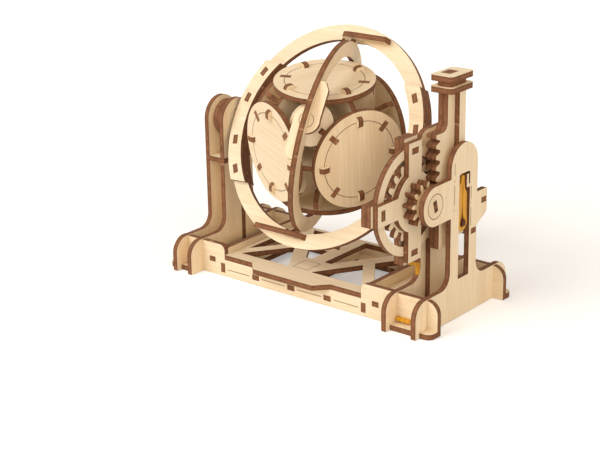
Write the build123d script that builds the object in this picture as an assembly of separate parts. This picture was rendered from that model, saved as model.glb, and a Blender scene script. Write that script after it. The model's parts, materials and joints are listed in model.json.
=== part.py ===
"""Key-driven wooden gimbal toy: laser-cut plywood sheets joined by tabs and slots.

Millimetres.  Origin on the rest plane, under the centre of the spinning rings.
+X runs along the frame towards the gearbox and the key, -Y is the front, +Z is up.
"""
from build123d import *
from math import acos, asin, atan2, cos, degrees, hypot, pi, radians, sin, sqrt, tan
import os

# ---- Sheet and fits ----------------------------------------------------------
SHEET = 3.0              # plywood thickness
FIT = 0.05               # play on each side of a tab in its slot
RUN = 0.08               # radial play of a turning disc in its hole
LAYER_GAP = 0.15         # play between a turning layer and its neighbours
SLIDE_GAP = 0.4          # play on each side of the sliding key
BARS_GAP = 0.3           # play between the key's back and its guide bars
JOIN = 1.0               # overlap of outlines that become one piece

# ---- Base frame --------------------------------------------------------------
BASE_HALF_DEPTH = 33.4   # outer faces of the front and rear plates
PLATE_LOW = 10.1         # top of the plates under the deck
PLATE_HIGH = 18.9        # top of their raised ends
PLATE_CORNER = 3.5       # rounding where the raised end starts
PLATE_END = 7.0          # rounding of the plate's outer end
PLATE_OVERHANG = 6.8     # plate length past the outer uprights
LAP = 9.5                # height where plates and uprights cross
DECK_SETBACK = 16.9      # from the deck's end to the left inner upright
DECK_RAIL = 3.7          # wood left at the deck's ends
DECK_FRONT_RAIL = 8.2    # wood left along its front edge
DECK_REAR_RAIL = 3.0     # and along its rear edge
DECK_SPINE_HALF = 4.6    # half width of the wood across its middle
DECK_PANEL_HALF = 8.6    # half width of the solid panel behind the lip
DECK_PANEL_REAR = -8.5   # where that panel ends
DECK_LONG_BAR = ((0.0, -30.2), (41.8, 35.4))    # ends of each long bar's middle line
DECK_LONG_WIDTH = 8.4
DECK_SHORT_BAR = ((24.0, 7.5), (47.0, -24.9))   # ends of each short bar's middle line
DECK_SHORT_WIDTH = 6.8
DECK_LIP = 7.6           # how far the front lip stands out
DECK_LIP_RISE = 7.0      # length of each slanted side of the lip
DECK_LIP_HALF = 21.0     # half length of the lip's straight edge
RIB_HEIGHT = 16.6        # top of the ribs at the deck's ends
RIB_SLOT_LOW = 2.2       # bottom of the ribs' tabs
RIB_SLOT = 5.5           # height of the ribs' tabs
RAIL_LOW = 2.9           # bottom of the lower frame
RAIL_TAB = 5.0           # length of the lower frame's tabs
RAIL_TAB_PITCH = 25.7    # spacing of those tabs
RAIL_WIDTH = 9.0         # width of the lower frame's members
TIE_LOW = 7.3            # bottom of the ties between the plates
TIE_SETBACK = 7.4        # from the ties' tabs to the left inner upright
TIE_GAP = 2.8            # from a tie to the left inner upright
TIE_TAB = 4.3            # length of the ties' tabs

# ---- Uprights ----------------------------------------------------------------
SHELF_DEPTH = 10.2       # foot shelves, in front of the long plates
FOOT_TOP = 19.4          # height of the feet
FOOT_ROUND = 9.0         # rounding of the toes
FOOT_FLARE = 8.0         # concave curve from foot to column
COLUMN_HALF = 12.4       # half width of the columns
RIGHT_ROOM = 5.2         # from the outer ring to the right inner upright
LEFT_ROOM = 1.2          # from the outer ring to the left inner upright
LEFT_SPAN = 8.3          # clear width between the two left uprights
HEAD_RISE = 18.0         # flat top of the right inner upright above the ring axis
HEAD_FRONT = 13.5        # its front edge, forward of the ring axis
HEAD_ROUND = 6.5         # its top corners
SHELF_TOE = 3.6          # how far the toes stand out in front of the shelves
SHELF_CHAMFER = 4.0      # cut corner at the outer end of a foot shelf

# ---- Ring and gear axes ------------------------------------------------------
RING_LIFT = 6.5          # room between the outer ring and the deck
GEAR_Y = -26.6           # gear axis, forward of the ring axis
JOURNAL_R = 6.2          # discs that carry the ring in the uprights
STOP_R = 10.5            # discs that keep the ring from sliding out
RETAINER_R = 7.5         # disc outside the pinion
SHAFT_DISC_R = 6.6       # discs that carry the gear shaft
CLUTCH_R = 5.0           # round hub inside the drive gears
SHAFT_LENGTH = 6.4       # long side of the gear shaft's section
SHAFT_TURN = 15.0        # how the shaft's section is turned at rest

# ---- Gears -------------------------------------------------------------------
PRESSURE = 20.0
WHEEL_MODULE = 2.2
WHEEL_TEETH = 18
PINION_TEETH = 10
DRIVE_MODULE = 1.85
DRIVE_TEETH = 11
TOOTH_PLAY = 0.35        # thinning of each tooth along the pitch line
WHEEL_ADDENDUM = 1.55
PINION_ADDENDUM = 2.0
WHEEL_DEDENDUM = 2.6
DRIVE_ADDENDUM = 1.8
DRIVE_DEDENDUM = 2.2
RACK_ADDENDUM = 1.0
RACK_DEDENDUM = 2.5

# ---- Gear housing ------------------------------------------------------------
HUB_R = 16.0
ARM_WIDTH = 11.5
ARM_REACH = 34.2
COVER_REACH = 32.3
RIM_IN = 24.2
RIM_OUT = 29.3
RIM_OPENING_R = 14.2     # room for the pinion where the rim is open
PEG_R = 27.6             # distance of the housing pegs from the gear axis
PEG_LONG = 5.6
PEG_SHORT = 3.2
ARM_ANGLES = (90, 180, 270, -12)

# ---- Outer bracket (right outer upright) -------------------------------------
LOBE_R = 10.7
WING_REACH = 22.2        # rear wing, behind the ring axis
WING_DROP = 17.6         # its upper edge below the ring axis
WING_HEIGHT = 13.2
WING_ROUND = 1.0
WING_SLANT = 6.0         # rise of its lower edge
WINDOW_FRONT = -4.8
WINDOW_REAR = 5.2
WINDOW_ROUND = 1.5
WINDOW_SPARE = 3.5       # window left under the pressed key's peg
WINDOW_DROP = 4.0        # window's top below the ring axis
HOOK_Y = 3.1             # middle of the hook that holds the return band
HOOK_WIDTH = 1.8
HOOK_GAP = 1.4           # from the hook's tip to the window's top
HOOK_LENGTH = 5.6

# ---- Key ---------------------------------------------------------------------
KEY_TRAVEL = 25.0
STEM_FRONT = -7.1
KEY_BACK = 4.9
KEY_DROP = 44.0          # bottom of the key below the ring axis
SHOULDER_RISE = 24.0     # where the stem widens, above the ring axis
SHOULDER_DROP = 5.0
SHOULDER_CURVE = 4.5
RACK_TOP_RISE = 15.5     # highest tooth gap at rest, above the ring axis
RACK_GAP_COUNT = 8
KEY_RISE = 39.7          # underside of the cap above the ring axis
RIB_FRONT = -0.8
RIB_STEP = 2.0           # the rib is wider by this below the gear axis
RIB_DROP = 39.0          # bottom of the rib below the ring axis
PEG_DROP = 32.0          # peg that pulls the return band, below the ring axis
PEG_SIZE = 3.0
CAP_HALF_X = 6.9
CAP_FRONT = -12.1
CAP_BACK = 9.1
CAP_STEP = 2.5
CAP_CHAMFER = 2.5
TENON_FRONT = -5.5
TENON_BACK = 2.5

# ---- Guide bars behind the key -----------------------------------------------
UPPER_BAR_DROP = 25.2    # bars' undersides below the ring axis
LOWER_BAR_DROP = 40.0
UPPER_TAB_Y = 19.1
LOWER_TAB_Y = 9.4
BAR_TAB = 4.6
DOUBLER_FRONT = -7.6
DOUBLER_TOP = 41.0

# ---- Left post parts ---------------------------------------------------------
CROSSBAR_DROP = 24.5     # crossbar's underside below the ring axis
CROSSBAR_TAB = 4.0       # length of its tabs in the uprights' edges
WEB_FRONT = 1.5
WEB_TAB_LOW = 8.2
WEB_TAB_TOP = 33.0

# ---- Outer ring --------------------------------------------------------------
RING_TILT = 28.2
RING_WIDTH = 8.8         # radial width of the outer ring
CHEEK_OUTER_ANGLE = 33.8
CHEEK_INNER_ANGLE = 39.5
CHEEK_PEG_IN = 4.4       # from the ring's inner edge to the pegs' middle
CHEEK_PEG_ANGLES = (12.2, 29.0)
CHEEK_PEG_LONG = 5.2
TONGUE_HALF = 4.5        # half height of the ring's tongues
PIVOT_HALF = 3.0         # half height of the thin part of the tongues
LUG_R = 7.3
LUG_SETBACK = 0.4        # from the ring's inner edge to its lugs
LUG_TAIL = 25.0
LUG_TAIL_TOP = 7.5
SEAT_PLAY = 0.1          # play of a lug's seat in the ring

# ---- Inner ring --------------------------------------------------------------
INNER_ROOM = 1.3         # room between the inner ring and the outer ring
INNER_WIDTH = 8.5        # radial width of the inner ring
BUSH_R = 3.8
TONGUE_WIDTH = 5.0
BALL_LUG_SETBACK = 0.6   # from the inner ring's edge to its lugs
BALL_LUG_R = 7.2
BALL_LUG_TAIL = 22.0
BALL_LUG_TOP = 7.0
BALL_LUG_TIP = 4.4
BALL_LUG_SLANT = 4.0     # length of the tail's slanted end
BALL_TURN = 112.1        # turn of the inner ring about its pivots

# ---- Ball --------------------------------------------------------------------
BALL_FACE = 34.6         # outer face of each disc from the centre
BALL_DISC_R = 28.0
BALL_SPIN = 110.1        # turn of the ball about its own axle
BALL_TAB_R = 22.0
BALL_TAB_LONG = 6.0
STUD_OUT = 2.2           # how far the rounded tongues stand out
BALL_RIB_IN = 17.2       # ribs behind the discs: inner end
BALL_RIB_OUT = 27.2      # outer end
BALL_RIB_LOW = 23.0      # lowest edge, and where its slant starts
BALL_RIB_EDGE = 27.5     # bottom of the outer end
BALL_ROOM = 1.3          # room between the ball's rim and the inner ring
BALL_PLATE_CORNER = 25.5
CORNER_PLATE_INSIDE = 34.5
CORNER_NOTCH = 5.8       # from the axle to the corner plates' notches

# ---- Rubber bands ------------------------------------------------------------
BAND_THICK = 1.6
BAND_TOP_HALF = 1.4      # half width beside the hook
BAND_LOW_HALF = 4.4      # half width from there down to the key's peg
BAND_FLARE = 3.0         # height over which it widens
STRAP = 2.0              # width of the lower band
STRAP_THICK = 1.2
BAND_TURN = (-17.2, 31.2)  # where the lower band turns down under the housing
BAND_END = 6.5           # how far it can be followed from there
BAND_LOOP = 8.5          # its length along the front plate

# ---- Worked-out places -------------------------------------------------------
FOOT_REACH = BASE_HALF_DEPTH + SHELF_DEPTH            # half length of an upright over its feet
INNER_IN = hypot(BALL_FACE, BALL_DISC_R) + BALL_ROOM
INNER_OUT = INNER_IN + INNER_WIDTH
BALL_LUG_INSIDE = INNER_IN + BALL_LUG_SETBACK
RING_IN = INNER_OUT + INNER_ROOM
RING_OUT = RING_IN + RING_WIDTH
LUG_INSIDE = RING_IN + LUG_SETBACK
CHEEK_PEG_R = RING_IN + CHEEK_PEG_IN
RING_Z = PLATE_LOW + SHEET + RING_LIFT + RING_OUT
INNER_X = RING_OUT + RIGHT_ROOM                       # inner face of the right inner upright
LEFT_INNER_X = RING_OUT + LEFT_ROOM                   # inner face of the left inner upright
DECK_HALF = LEFT_INNER_X - DECK_SETBACK
TIE_X = LEFT_INNER_X - TIE_SETBACK
HEAD_TOP = RING_Z + HEAD_RISE
WINDOW_TOP = RING_Z - WINDOW_DROP
HOOK_TOP = WINDOW_TOP - HOOK_GAP
HOOK_FOOT = HOOK_TOP - HOOK_LENGTH
PEG_Z = RING_Z - PEG_DROP
WINDOW_LOW = PEG_Z - KEY_TRAVEL - PEG_SIZE / 2 - WINDOW_SPARE
WING_TOP = RING_Z - WING_DROP
WING_LOW = WING_TOP - WING_HEIGHT
SHOULDER = RING_Z + SHOULDER_RISE
RACK_TOP_GAP = RING_Z + RACK_TOP_RISE
KEY_TOP = RING_Z + KEY_RISE
KEY_LOW = RING_Z - KEY_DROP
RIB_LOW = RING_Z - RIB_DROP
UPPER_BAR_LOW = RING_Z - UPPER_BAR_DROP
LOWER_BAR_LOW = RING_Z - LOWER_BAR_DROP
CROSSBAR_LOW = RING_Z - CROSSBAR_DROP
LAYER = [INNER_X + SHEET * i for i in range(4)]       # upright, rim, cover, outside
KEY_X = LAYER[3] + SLIDE_GAP                          # inner face of the key
KEY_LAYER = [KEY_X + SHEET * i for i in range(4)]
BRACKET_X = KEY_LAYER[3] + SLIDE_GAP
BRACKET_OUT = BRACKET_X + SHEET
LEFT_OUTER_X = LEFT_INNER_X + SHEET + LEFT_SPAN       # inner face of the left outer upright
LEFT_END = LEFT_OUTER_X + SHEET + PLATE_OVERHANG
RIGHT_END = BRACKET_OUT + PLATE_OVERHANG
PLATE_IN = BASE_HALF_DEPTH - SHEET
PINION_PITCH_R = WHEEL_MODULE * PINION_TEETH / 2
WHEEL_PITCH_R = WHEEL_MODULE * WHEEL_TEETH / 2
DRIVE_PITCH_R = DRIVE_MODULE * DRIVE_TEETH / 2
RACK_PITCH = pi * DRIVE_MODULE
CENTRE_DISTANCE = PINION_PITCH_R + WHEEL_PITCH_R
GEAR_Z = RING_Z - sqrt(CENTRE_DISTANCE ** 2 - GEAR_Y ** 2)
MESH_ANGLE = degrees(atan2(RING_Z - GEAR_Z, -GEAR_Y)) # from the gear axis to the ring axis
RACK_PITCH_Y = GEAR_Y + DRIVE_PITCH_R
RACK_ROOT_Y = RACK_PITCH_Y + RACK_DEDENDUM
RACK_TIP_Y = RACK_PITCH_Y - RACK_ADDENDUM

# Unit directions of the ring, the inner ring and the ball.
CENTRE = Vector(0, 0, RING_Z)
ALONG = Vector(1, 0, 0)
RING_NORMAL = Vector(0, -cos(radians(RING_TILT)), sin(radians(RING_TILT)))
RING_UP = Vector(0, sin(radians(RING_TILT)), cos(radians(RING_TILT)))
BALL_AXIS = -ALONG * cos(radians(BALL_TURN)) + RING_NORMAL * sin(radians(BALL_TURN))
INNER_NORMAL = RING_UP.cross(BALL_AXIS)


# ---- Drawing helpers ---------------------------------------------------------
def side_plane(x):
    """Sheet lying across the frame: drawn in (y, z), growing towards +X."""
    return Plane(origin=(x, 0, 0), x_dir=(0, 1, 0), z_dir=(1, 0, 0))


def front_plane(y):
    """Sheet standing along the frame: drawn in (x, z), growing towards -Y."""
    return Plane(origin=(0, y, 0), x_dir=(1, 0, 0), z_dir=(0, -1, 0))


def floor_plane(z):
    """Level sheet: drawn in (x, y), growing upwards."""
    return Plane(origin=(0, 0, z))


def ring_plane(normal_offset):
    """Plane of the outer ring: drawn in (along X, up the ring)."""
    return Plane(origin=CENTRE + RING_NORMAL * normal_offset, x_dir=ALONG, z_dir=RING_NORMAL)


def inner_plane(normal_offset):
    """Plane of the inner ring: drawn in (its pivot axis, the ball's axis)."""
    return Plane(origin=CENTRE + INNER_NORMAL * normal_offset, x_dir=RING_UP, z_dir=INNER_NORMAL)


def sheet(plane, face, thickness=SHEET):
    return extrude(plane * face, amount=thickness)


def slab(u0, v0, u1, v1):
    return Pos((u0 + u1) / 2, (v0 + v1) / 2) * Rectangle(abs(u1 - u0), abs(v1 - v0))


def disc(u, v, radius):
    return Pos(u, v) * Circle(radius)


def slot(u, v, long_u, long_v, play=FIT):
    return Pos(u, v) * Rectangle(long_u + 2 * play, long_v + 2 * play)


def outline(*corners):
    """Face inside (u, v) corners; a third value is that corner's radius."""
    bends = []
    for i, corner in enumerate(corners):
        here = Vector(*corner[:2])
        radius = corner[2] if len(corner) > 2 else 0
        if not radius:
            bends.append((here, here, None))
            continue
        back = (Vector(*corners[i - 1][:2]) - here).normalized()
        ahead = (Vector(*corners[(i + 1) % len(corners)][:2]) - here).normalized()
        half = radians(back.get_angle(ahead) / 2)
        middle = here + (back + ahead).normalized() * (radius / sin(half) - radius)
        reach = radius / tan(half)
        bends.append((here + back * reach, here + ahead * reach, middle))
    edges = []
    for i, (start, end, middle) in enumerate(bends):
        if middle:
            edges.append(ThreePointArc(start, middle, end))
        following = bends[(i + 1) % len(bends)][0]
        if (following - end).length > 1e-6:
            edges.append(Line(end, following))
    return make_face(edges)


def both_sides(face):
    return face + mirror(face, about=Plane.YZ)


def turned(face, angle):
    return Rot(0, 0, angle) * face


def polar(radius, angle):
    return radius * cos(radians(angle)), radius * sin(radians(angle))


# ---- Gear outlines -----------------------------------------------------------
def involute(angle):
    return tan(angle) - angle


def gear_face(module, teeth, addendum, dedendum, phase):
    """Spur gear with one tooth's middle at the angle phase."""
    pitch_r = module * teeth / 2
    base_r = pitch_r * cos(radians(PRESSURE))
    tip_r = pitch_r + addendum
    root_r = pitch_r - dedendum
    half_pitch = (pi * module / 2 - TOOTH_PLAY) / (2 * pitch_r)
    foot_r = max(base_r, root_r)

    def flank(radius):
        half = half_pitch + involute(radians(PRESSURE)) - involute(acos(base_r / radius))
        return radius, degrees(half)

    stations = [flank(foot_r), flank((foot_r + tip_r) / 2), flank(tip_r)]
    foot_half = stations[0][1]
    edges = []
    for i in range(teeth):
        middle = phase + i * 360 / teeth
        rising = [polar(r, middle - half) for r, half in stations]
        falling = [polar(r, middle + half) for r, half in reversed(stations)]
        root_start = polar(root_r, middle + foot_half)
        root_end = polar(root_r, middle + 360 / teeth - foot_half)
        edges.append(ThreePointArc(*rising))
        edges.append(ThreePointArc(rising[-1], polar(tip_r, middle), falling[0]))
        edges.append(ThreePointArc(*falling))
        edges.append(Line(falling[-1], root_start))
        edges.append(ThreePointArc(root_start, polar(root_r, middle + 180 / teeth), root_end))
        edges.append(Line(root_end, polar(foot_r, middle + 360 / teeth - foot_half)))
    return make_face(edges)


def shaft_section(play=0.0):
    return turned(Rectangle(SHEET + 2 * play, SHAFT_LENGTH + 2 * play), SHAFT_TURN)


# ---- Base frame --------------------------------------------------------------
def upright_slots():
    """The long plates are notched from above where the uprights cross them."""
    places = (LAYER[0], BRACKET_X, -LEFT_INNER_X - SHEET, -LEFT_OUTER_X - SHEET)
    return [slab(x - FIT, LAP - FIT, x + SHEET + FIT, 2 * PLATE_HIGH) for x in places]


def long_plate(with_band_notch):
    step = DECK_HALF + FIT
    face = outline(
        (-LEFT_END, 0), (RIGHT_END, 0), (RIGHT_END, PLATE_HIGH, PLATE_END),
        (step, PLATE_HIGH, PLATE_CORNER), (step, PLATE_LOW), (-step, PLATE_LOW),
        (-step, PLATE_HIGH, PLATE_CORNER), (-LEFT_END, PLATE_HIGH, PLATE_END))
    rib_middle = step + SHEET / 2
    for x in (-rib_middle, rib_middle):
        face -= slot(x, RIB_SLOT_LOW + RIB_SLOT / 2, SHEET, RIB_SLOT)
    for x in (-TIE_X, TIE_X):
        face -= slot(x, TIE_LOW + SHEET / 2, TIE_TAB, SHEET)
    for i in (-1, 0, 1):
        face -= slot(i * RAIL_TAB_PITCH, RAIL_LOW + SHEET / 2, RAIL_TAB, SHEET)
    for cut in upright_slots():
        face -= cut
    if with_band_notch:
        face -= slot(LAYER[1] + SHEET / 2, SHEET + STRAP, STRAP, STRAP, 2 * FIT)
    return face


def front_plate():
    return sheet(front_plane(-PLATE_IN), long_plate(True))


def rear_plate():
    return sheet(front_plane(BASE_HALF_DEPTH), long_plate(False))


def bar(ends, width):
    """Straight member drawn along its middle line."""
    start, end = (Vector(*point) for point in ends)
    run = end - start
    return Pos((start + end) / 2) * turned(Rectangle(run.length, width), degrees(atan2(run.Y, run.X)))


def deck():
    """Deck with a lip in front and a forked truss on each side of its spine."""
    edge = BASE_HALF_DEPTH
    face = slab(-DECK_HALF, -edge, DECK_HALF, edge)
    lip = DECK_LIP_HALF + DECK_LIP_RISE
    face += outline((-lip, -edge), (-DECK_LIP_HALF, -edge - DECK_LIP),
                    (DECK_LIP_HALF, -edge - DECK_LIP), (lip, -edge))
    gaps = slab(DECK_SPINE_HALF, -edge + DECK_FRONT_RAIL, DECK_HALF - DECK_RAIL, edge - DECK_REAR_RAIL)
    gaps -= slab(0, -edge, DECK_PANEL_HALF, DECK_PANEL_REAR)
    gaps -= bar(DECK_LONG_BAR, DECK_LONG_WIDTH)
    gaps -= bar(DECK_SHORT_BAR, DECK_SHORT_WIDTH)
    face -= both_sides(gaps)
    return sheet(floor_plane(PLATE_LOW), face)


def lower_frame():
    half = DECK_HALF
    face = slab(-half, -PLATE_IN, half, PLATE_IN)
    window_in = RAIL_WIDTH / 2
    for x0, x1 in ((window_in, half - RAIL_WIDTH), (-half + RAIL_WIDTH, -window_in)):
        face -= slab(x0, -PLATE_IN + RAIL_WIDTH, x1, PLATE_IN - RAIL_WIDTH)
    for i in (-1, 0, 1):
        face += slab(i * RAIL_TAB_PITCH - RAIL_TAB / 2, -BASE_HALF_DEPTH,
                     i * RAIL_TAB_PITCH + RAIL_TAB / 2, -PLATE_IN)
        face += slab(i * RAIL_TAB_PITCH - RAIL_TAB / 2, PLATE_IN,
                     i * RAIL_TAB_PITCH + RAIL_TAB / 2, BASE_HALF_DEPTH)
    return sheet(floor_plane(RAIL_LOW), face)


def end_rib(side):
    """Rib across the frame at one end of the deck, tabbed into both long plates."""
    face = slab(-PLATE_IN, RIB_SLOT_LOW, PLATE_IN, RIB_HEIGHT)
    for s in (-1, 1):
        face += slab(s * PLATE_IN, RIB_SLOT_LOW, s * BASE_HALF_DEPTH, RIB_SLOT_LOW + RIB_SLOT)
    inner = DECK_HALF + FIT
    return sheet(side_plane(inner if side > 0 else -inner - SHEET), face)


def tie(side):
    """Level plate between the long plates, just outside a rib."""
    inner = DECK_HALF + 2 * FIT + SHEET
    x0, x1 = sorted((side * inner, side * (LEFT_INNER_X - TIE_GAP)))
    face = slab(x0, -PLATE_IN, x1, PLATE_IN)
    for s in (-1, 1):
        face += slab(side * TIE_X - TIE_TAB / 2, s * PLATE_IN,
                     side * TIE_X + TIE_TAB / 2, s * BASE_HALF_DEPTH)
    return sheet(floor_plane(TIE_LOW), face)


def foot_shelves():
    """Level plates behind the toes of each pair of uprights."""
    toe = -FOOT_REACH + SHELF_TOE + FIT
    right = outline((LAYER[1], toe), (RIGHT_END, toe, SHELF_CHAMFER),
                    (RIGHT_END, -BASE_HALF_DEPTH), (LAYER[1], -BASE_HALF_DEPTH))
    left_inner = LEFT_INNER_X + SHEET
    left = outline((-left_inner, toe), (-LEFT_END, toe, SHELF_CHAMFER),
                   (-LEFT_END, -BASE_HALF_DEPTH), (-left_inner, -BASE_HALF_DEPTH))
    front = right + left
    return sheet(floor_plane(0), front + mirror(front, about=Plane.XZ))


# ---- Uprights ----------------------------------------------------------------
def feet(height, notched):
    """Both feet and the column up to a height; notched where a shelf crosses."""
    face = both_sides(outline(
        (0, 0), (FOOT_REACH, 0), (FOOT_REACH, FOOT_TOP, FOOT_ROUND),
        (COLUMN_HALF, FOOT_TOP, FOOT_FLARE), (COLUMN_HALF, height), (0, height)))
    for s in (-1, 1):
        face -= slab(s * (PLATE_IN - FIT), -JOIN, s * (BASE_HALF_DEPTH + FIT), LAP + FIT)
        if notched:
            face -= slab(s * BASE_HALF_DEPTH, -JOIN, s * (FOOT_REACH - SHELF_TOE), SHEET + FIT)
    return face


def round_post(notched):
    return feet(RING_Z, notched) + disc(0, RING_Z, COLUMN_HALF) - disc(0, RING_Z, JOURNAL_R + RUN)


def left_post(notched):
    face = round_post(notched)
    for s in (-1, 1):
        face -= slab(s * (COLUMN_HALF - CROSSBAR_TAB - FIT), CROSSBAR_LOW - FIT,
                     s * (COLUMN_HALF + JOIN), CROSSBAR_LOW + SHEET + FIT)
    face -= slot(WEB_FRONT + SHEET / 2, (WEB_TAB_LOW + WEB_TAB_TOP) / 2, SHEET, WEB_TAB_TOP - WEB_TAB_LOW)
    return face


def left_inner_upright():
    return sheet(side_plane(-LEFT_INNER_X - SHEET), left_post(False))


def left_outer_upright():
    return sheet(side_plane(-LEFT_OUTER_X - SHEET), left_post(True))


def left_crossbar():
    face = slab(-LEFT_OUTER_X, -COLUMN_HALF, -LEFT_INNER_X - SHEET, COLUMN_HALF)
    for s in (-1, 1):
        face += slab(-LEFT_OUTER_X - SHEET, s * COLUMN_HALF, -LEFT_INNER_X, s * (COLUMN_HALF - CROSSBAR_TAB))
    return sheet(floor_plane(CROSSBAR_LOW), face)


def left_web():
    face = slab(-LEFT_OUTER_X, SHEET, -LEFT_INNER_X - SHEET, CROSSBAR_LOW)
    face += slab(-LEFT_OUTER_X - SHEET, WEB_TAB_LOW, -LEFT_INNER_X, WEB_TAB_TOP)
    return sheet(front_plane(WEB_FRONT + SHEET), face)


def wing():
    """Rear wing of the right uprights, for the upper guide bar's tab."""
    inside = COLUMN_HALF - JOIN
    return outline((inside, WING_TOP), (WING_REACH, WING_TOP, WING_ROUND), (WING_REACH, WING_LOW, WING_ROUND),
                   (inside, WING_LOW - WING_SLANT))


def bar_slots():
    upper = slot(UPPER_TAB_Y, UPPER_BAR_LOW + SHEET / 2, BAR_TAB, SHEET)
    lower = slot(LOWER_TAB_Y, LOWER_BAR_LOW + SHEET / 2, BAR_TAB, SHEET)
    return upper + lower


def at_gear(face):
    return Pos(GEAR_Y, GEAR_Z) * face


def arms(reach, inner=0.0):
    """Housing arms from the gear axis; the last one is hidden by the key."""
    return [turned(slab(inner, -ARM_WIDTH / 2, reach, ARM_WIDTH / 2), angle) for angle in ARM_ANGLES]


def peg_slots(play=FIT):
    return [turned(slot(PEG_R, 0, PEG_SHORT, PEG_LONG, play), angle) for angle in ARM_ANGLES]


def right_inner_upright():
    """Right post; it is also the inner wall of the gear housing."""
    face = feet(RING_Z, False)
    face += outline((-HEAD_FRONT, GEAR_Z), (COLUMN_HALF, GEAR_Z),
                    (COLUMN_HALF, HEAD_TOP, HEAD_ROUND), (-HEAD_FRONT, HEAD_TOP, HEAD_ROUND))
    face += wing()
    face += at_gear(Circle(HUB_R))
    for arm in arms(ARM_REACH):
        face += at_gear(arm)
    for cut in peg_slots():
        face -= at_gear(cut)
    face -= at_gear(Circle(SHAFT_DISC_R + RUN))
    face -= disc(0, RING_Z, JOURNAL_R + RUN)
    face -= bar_slots()
    return sheet(side_plane(LAYER[0]), face)


def right_outer_upright():
    """Bracket outside the key, with the lobe that carries the gear shaft."""
    face = feet(RING_Z, True) + disc(0, RING_Z, COLUMN_HALF)
    face += slab(GEAR_Y, GEAR_Z - LOBE_R, 0, GEAR_Z + LOBE_R) + disc(GEAR_Y, GEAR_Z, LOBE_R)
    face += wing()
    face -= at_gear(Circle(SHAFT_DISC_R + RUN))
    window = outline((WINDOW_FRONT, WINDOW_LOW), (WINDOW_REAR, WINDOW_LOW),
                     (WINDOW_REAR, WINDOW_TOP, WINDOW_ROUND), (WINDOW_FRONT, WINDOW_TOP, WINDOW_ROUND))
    hook = outline((HOOK_Y - HOOK_WIDTH / 2, HOOK_FOOT - HOOK_WIDTH), (WINDOW_REAR, HOOK_FOOT - HOOK_WIDTH),
                   (WINDOW_REAR, HOOK_FOOT), (HOOK_Y + HOOK_WIDTH / 2, HOOK_FOOT),
                   (HOOK_Y + HOOK_WIDTH / 2, HOOK_TOP), (HOOK_Y - HOOK_WIDTH / 2, HOOK_TOP))
    face -= window - hook
    face -= bar_slots()
    return sheet(side_plane(BRACKET_X), face)


def key_guide_bars():
    """Two level bars behind the key, tabbed into both right uprights."""
    near = KEY_BACK + BARS_GAP
    far = {UPPER_BAR_LOW: UPPER_TAB_Y + BAR_TAB / 2, LOWER_BAR_LOW: COLUMN_HALF}
    tab_y = {UPPER_BAR_LOW: UPPER_TAB_Y, LOWER_BAR_LOW: LOWER_TAB_Y}
    bars = []
    for low in (UPPER_BAR_LOW, LOWER_BAR_LOW):
        face = slab(LAYER[3], near, BRACKET_X, far[low])
        face += slab(LAYER[0], tab_y[low] - BAR_TAB / 2, BRACKET_OUT, tab_y[low] + BAR_TAB / 2)
        bars.append(sheet(floor_plane(low), face))
    return bars


def key_guide_doubler():
    return sheet(side_plane(LAYER[1]), slab(DOUBLER_FRONT, 0, COLUMN_HALF, DOUBLER_TOP))


# ---- Gear housing ------------------------------------------------------------
def gearbox_rim():
    face = Circle(RIM_OUT)
    for arm in arms(ARM_REACH, RIM_IN):
        face += arm
    face -= Circle(RIM_IN)
    face -= Pos(*polar(CENTRE_DISTANCE, MESH_ANGLE)) * Circle(RIM_OPENING_R)
    for cut in peg_slots():
        face -= cut
    return sheet(side_plane(LAYER[1]), at_gear(face))


def gearbox_cover():
    face = Circle(HUB_R)
    for arm in arms(COVER_REACH):
        face += arm
    face -= Circle(SHAFT_DISC_R + RUN)
    for cut in peg_slots():
        face -= cut
    return sheet(side_plane(LAYER[2]), at_gear(face))


def gearbox_pegs():
    return [sheet(side_plane(LAYER[0]), at_gear(peg), 3 * SHEET) for peg in peg_slots(0)]


# ---- Key ---------------------------------------------------------------------
def rack_face():
    """Stem, shoulder, rack teeth and lower body of the key."""
    face = outline((STEM_FRONT, SHOULDER), (KEY_BACK, SHOULDER), (KEY_BACK, KEY_TOP), (STEM_FRONT, KEY_TOP))
    face += outline((RACK_TIP_Y, SHOULDER - SHOULDER_DROP), (STEM_FRONT, SHOULDER - SHOULDER_DROP, SHOULDER_CURVE),
                    (STEM_FRONT, SHOULDER), (KEY_BACK, SHOULDER), (KEY_BACK, KEY_LOW),
                    (RACK_ROOT_Y, KEY_LOW), (RACK_ROOT_Y, RACK_TOP_GAP),
                    (RACK_TIP_Y, RACK_TOP_GAP + RACK_PITCH / 4))
    quarter = RACK_PITCH / 4
    slope = tan(radians(PRESSURE))
    thin = TOOTH_PLAY / 2
    for i in range(RACK_GAP_COUNT):
        middle = RACK_TOP_GAP - (i + 0.5) * RACK_PITCH
        root_half = quarter + RACK_DEDENDUM * slope - thin
        tip_half = quarter - RACK_ADDENDUM * slope - thin
        face += outline((RACK_ROOT_Y, middle - root_half), (RACK_ROOT_Y, middle + root_half),
                        (RACK_TIP_Y, middle + tip_half), (RACK_TIP_Y, middle - tip_half))
    face += slab(TENON_FRONT, KEY_TOP, TENON_BACK, KEY_TOP + 3 * SHEET)
    face -= slot(key_peg_y(), PEG_Z, PEG_SIZE, PEG_SIZE)
    return face


def key_peg_y():
    return (WINDOW_FRONT + WINDOW_REAR) / 2


def key_rack_inner():
    return sheet(side_plane(KEY_LAYER[0]), rack_face())


def key_rack_outer():
    return sheet(side_plane(KEY_LAYER[1]), rack_face())


def key_rib():
    face = slab(RIB_FRONT - RIB_STEP, RIB_LOW, KEY_BACK, GEAR_Z) + slab(RIB_FRONT, GEAR_Z, KEY_BACK, KEY_TOP)
    face -= slot(key_peg_y(), PEG_Z, PEG_SIZE, PEG_SIZE)
    return sheet(side_plane(KEY_LAYER[2]), face)


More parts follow.
